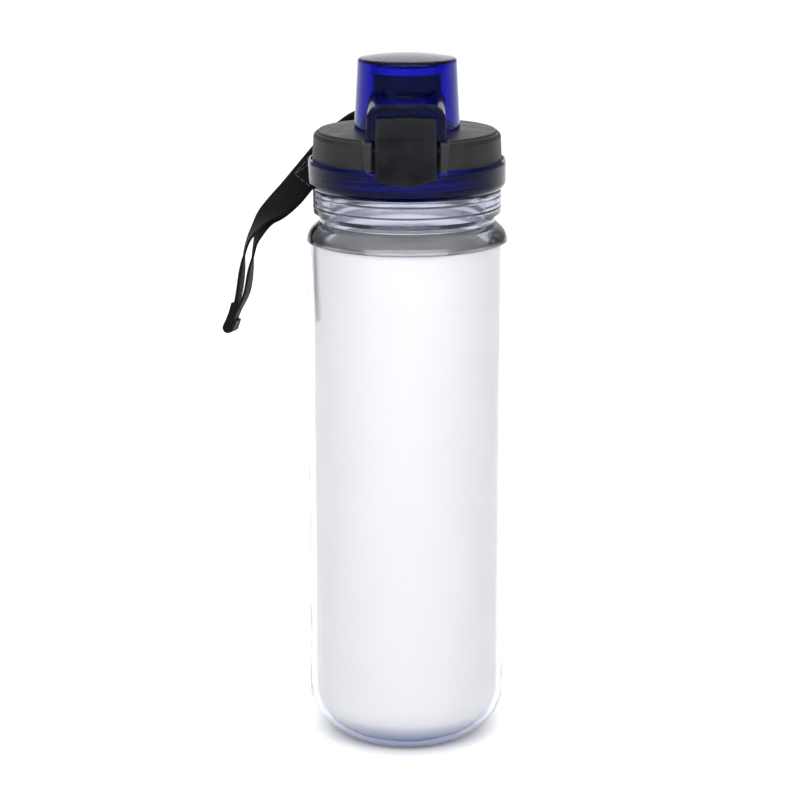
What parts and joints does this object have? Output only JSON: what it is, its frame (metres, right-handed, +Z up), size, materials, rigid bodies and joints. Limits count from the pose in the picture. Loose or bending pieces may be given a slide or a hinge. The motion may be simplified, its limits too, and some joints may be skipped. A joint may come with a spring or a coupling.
{
  "type": "sports drinking bottle",
  "caption": "Clear double-wall sports bottle with a white insert, a blue and grey screw lid, a latched flip cap over a drinking spout, and a wrist strap.",
  "frame": {"origin": "centre of the flat base that the bottle stands on", "axes": "+Z up along the bottle's axis, -Y towards the latch at the front, -X towards the side where the strap hangs"},
  "size_m": [0.1001, 0.0749, 0.2452],
  "materials": {
    "clear_plastic": "clear, polished",
    "white_insert": "satin white sheet",
    "blue_plastic": "translucent, polished",
    "grey_plastic": "satin moulded",
    "latch_plastic": "satin moulded",
    "spout_plastic": "satin moulded",
    "silicone": "matt, translucent",
    "steel": "drawn wire",
    "webbing": "woven polyester"
  },
  "bodies": {
    "bottle": {"outer_shell": "clear_plastic", "insert_sleeve": "white_insert", "inner_vessel": "clear_plastic"},
    "mouth_seal": {"mouth_gasket": "silicone"},
    "lid": {"screw_cap": "blue_plastic", "spout_gasket": "silicone", "spout": "spout_plastic", "lid_cover": "grey_plastic", "strap_pin": "steel", "latch_pin": "latch_plastic", "latch_spring": "steel", "hinge_pin": "steel", "flip_spring": "steel"},
    "strap": {"wrist_strap": "webbing"},
    "latch": {"latch_button": "latch_plastic"},
    "cap": {"flip_cap": "blue_plastic", "cap_seal": "silicone"}
  },
  "joints": [
    {"name": "lid_lift", "type": "slide", "parent": "bottle", "child": "mouth_seal", "axis": [0, 0, 1], "range_m": [0, 0.0241]},
    {"name": "lid_turn", "type": "hinge", "parent": "mouth_seal", "child": "lid", "pos_m": [0, 0, 0.205], "axis": [0, 0, 1], "range_deg": [0, 1080]},
    {"name": "flip_open", "type": "hinge", "parent": "lid", "child": "cap", "pos_m": [0, 0.028, 0.2224], "axis": [-1, 0, 0], "range_deg": [0, 120], "deforming": ["flip_spring"]},
    {"name": "latch_press", "type": "hinge", "parent": "lid", "child": "latch", "pos_m": [0, -0.0344, 0.2164], "axis": [1, 0, 0], "range_deg": [0, 5], "stiffness_Nm_per_rad": 0.1, "springref_deg": -6.88, "deforming": ["latch_spring"]},
    {"name": "strap_swing", "type": "hinge", "parent": "lid", "child": "strap", "pos_m": [-0.0134, 0.0356, 0.2166], "axis": [0, 0, 1], "range_deg": [-90, 0]}
  ],
  "couplings": [
    {"joint": "lid_lift", "follows": "lid_turn", "m_per_rad": 0.0012732}
  ]
}
